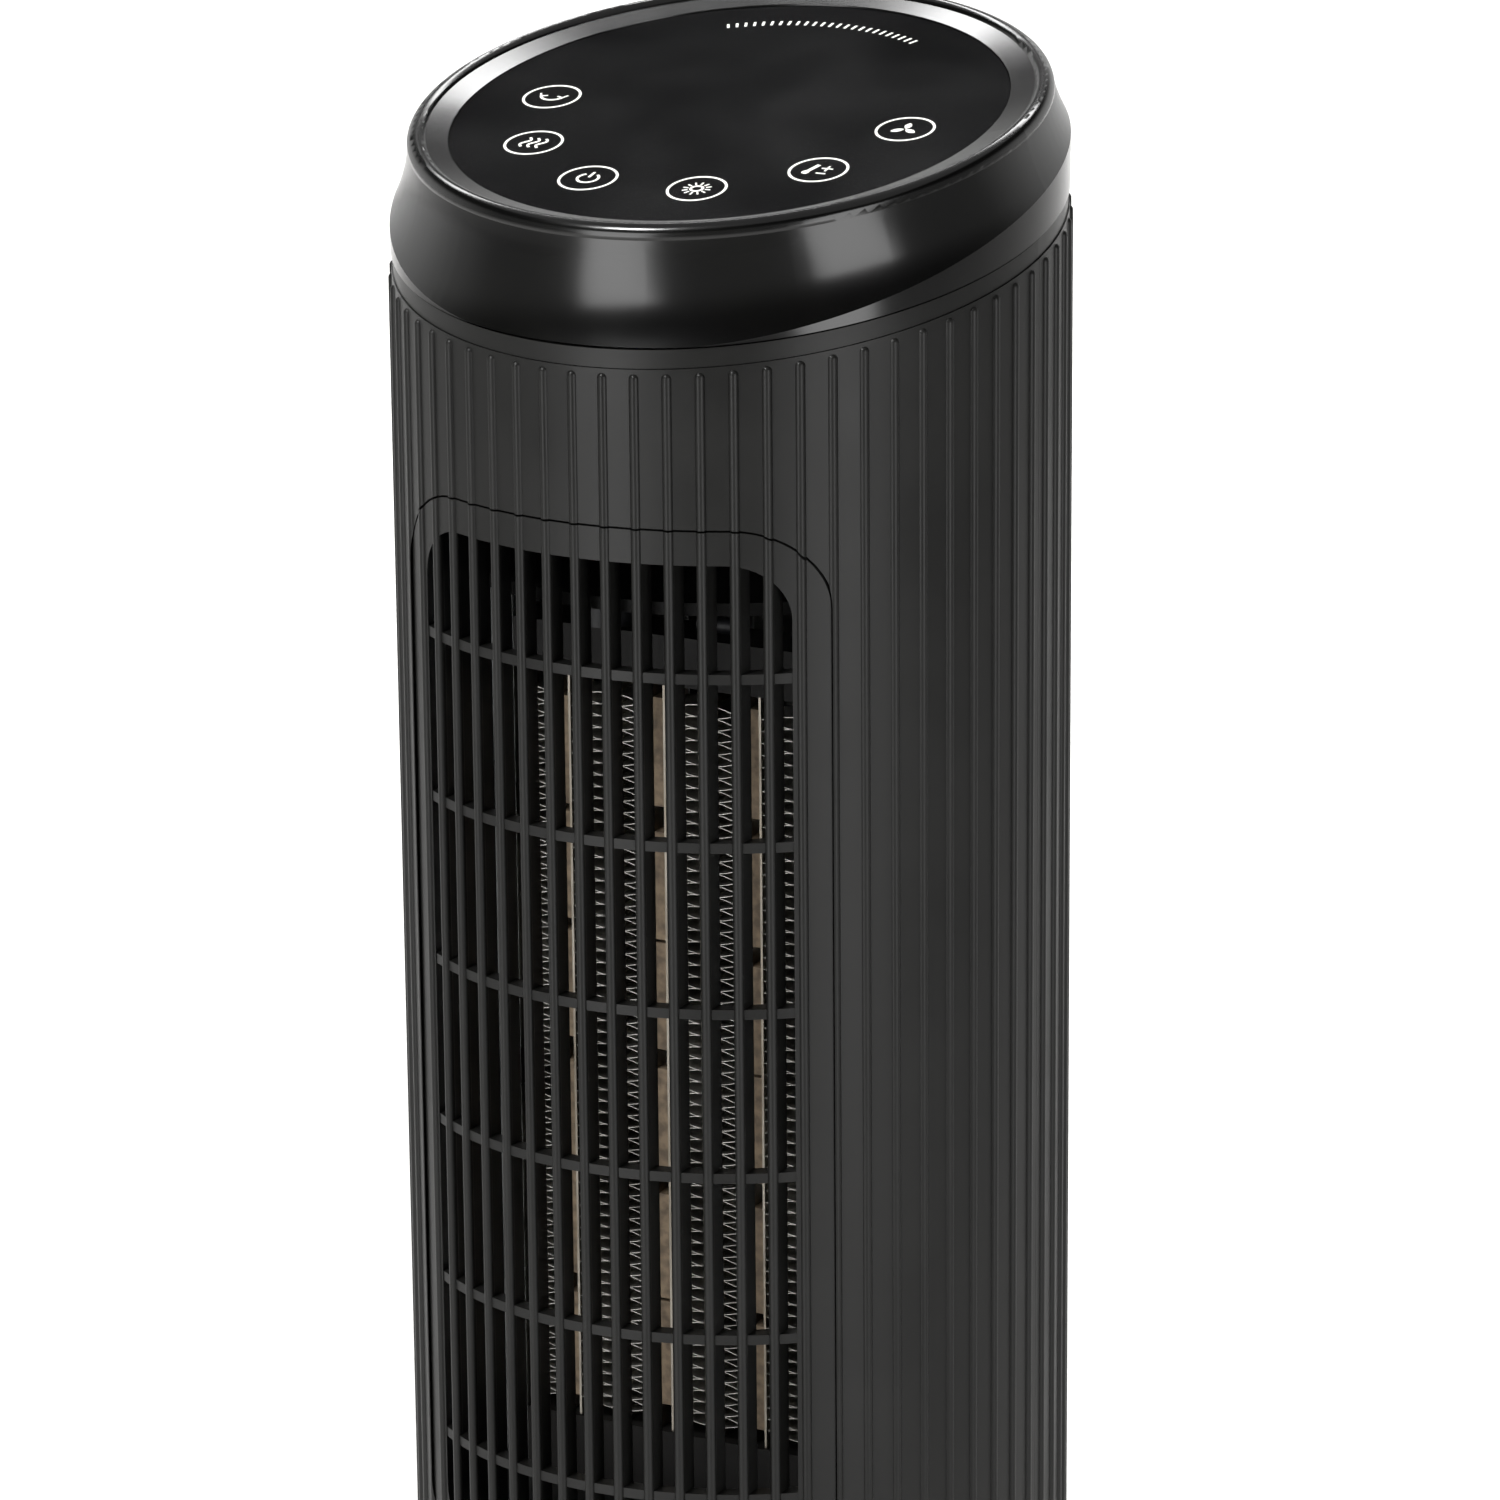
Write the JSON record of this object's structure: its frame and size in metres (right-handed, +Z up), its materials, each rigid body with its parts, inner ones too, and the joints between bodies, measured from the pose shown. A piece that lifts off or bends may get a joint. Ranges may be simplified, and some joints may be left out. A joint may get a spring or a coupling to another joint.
{
  "type": "tower fan",
  "caption": "Ribbed upright tower fan with a ceramic heater behind a barred grille, a sloping gloss top with touch keys, a pull-off rear filter cover and a round swivelling base.",
  "frame": {"origin": "centre of the footprint at floor level, under the rubber feet", "axes": "+Z up along the swivel axis, front grille faces -Y, +X to the right seen from the front"},
  "size_m": [0.22, 0.2224, 0.6197],
  "materials": {
    "shell_charcoal": "satin",
    "gloss_black": "gloss",
    "panel_gloss": "gloss",
    "dark_plastic": "matte",
    "filter_mesh": "matte",
    "white_acetal": "satin",
    "heater_frame": "matte",
    "soft_rubber": "matte",
    "impeller_plastic": "satin",
    "fin_aluminium": "bright",
    "strip_steel": "satin",
    "ptc_ceramic": "matte",
    "plated_steel": "satin",
    "sintered_bronze": "satin",
    "board_green": "satin",
    "board_parts": "satin",
    "spring_steel": "bright"
  },
  "bodies": {
    "base": {"rubber_feet": "soft_rubber", "base_plate": "dark_plastic", "base_cover": "gloss_black", "base_screws": "plated_steel", "slip_ring": "white_acetal", "swivel_gear": "white_acetal", "gear_screws": "plated_steel", "tip_switch_body": "dark_plastic", "cord_gland": "dark_plastic"},
    "blower": {"impeller": "impeller_plastic", "blower_shaft": "plated_steel", "motor_rotor": "plated_steel"},
    "pinion": {"drive_pinion": "white_acetal", "drive_shaft": "plated_steel"},
    "rocker": {"rocker_button": "dark_plastic"},
    "rear_cover": {"filter_cover": "shell_charcoal", "dust_filter": "filter_mesh"},
    "plunger": {"tip_plunger": "white_acetal"},
    "tower": {"bearing_bush": "sintered_bronze", "bearing_rubber": "soft_rubber", "board_bracket": "dark_plastic", "board_carrier": "white_acetal", "bottom_cover": "shell_charcoal", "cap_screws": "plated_steel", "collar_ring": "shell_charcoal", "control_board": "board_green", "control_chips": "board_parts", "control_panel": "panel_gloss", "display_module": "board_parts", "duct_bottom_plate": "dark_plastic", "duct_scroll": "dark_plastic", "duct_tongue": "dark_plastic", "duct_top_plate": "dark_plastic", "electrode_strips": "strip_steel", "floor_screws": "plated_steel", "front_grille": "shell_charcoal", "front_housing": "shell_charcoal", "heater_fins": "fin_aluminium", "heater_frame_bottom": "heater_frame", "heater_frame_top": "heater_frame", "heater_side_rails": "plated_steel", "housing_screws": "plated_steel", "hub_retainer": "white_acetal", "ir_receiver": "board_parts", "motor_end_bells": "plated_steel", "motor_mounts": "soft_rubber", "motor_stator": "plated_steel", "oscillation_motor": "plated_steel", "power_board": "board_green", "power_components": "board_parts", "ptc_stones": "ptc_ceramic", "rear_housing": "shell_charcoal", "retainer_screws": "plated_steel", "rocker_frame": "dark_plastic", "room_sensor": "board_parts", "switch_terminals": "strip_steel", "thermal_cutout": "board_parts", "thermal_fuse": "board_parts", "top_cap": "gloss_black", "touch_springs": "spring_steel"}
  },
  "joints": [
    {"name": "oscillation", "type": "hinge", "parent": "base", "child": "tower", "pos_m": [0, 0, 0.03], "axis": [0, 0, 1], "range_deg": [-35, 35]},
    {"name": "blower_spin", "type": "hinge", "parent": "tower", "child": "blower", "pos_m": [0, 0.014, 0.3], "axis": [0, 0, 1], "continuous": true},
    {"name": "pinion_spin", "type": "hinge", "parent": "tower", "child": "pinion", "pos_m": [0, 0.0401, 0.034], "axis": [0, 0, 1], "range_deg": [-110, 110]},
    {"name": "rocker_press", "type": "hinge", "parent": "tower", "child": "rocker", "pos_m": [0, 0.0778, 0.092], "axis": [1, 0, 0], "range_deg": [-20, 0]},
    {"name": "rear_cover_pull", "type": "slide", "parent": "tower", "child": "rear_cover", "axis": [0, 1, 0], "range_m": [0, 0.06]},
    {"name": "tip_plunger_slide", "type": "slide", "parent": "base", "child": "plunger", "axis": [0, 0, -1], "range_m": [0, 0.003], "stiffness_N_per_m": 60, "springref_m": 0.006}
  ],
  "couplings": [
    {"joint": "pinion_spin", "follows": "oscillation", "ratio": 3}
  ]
}
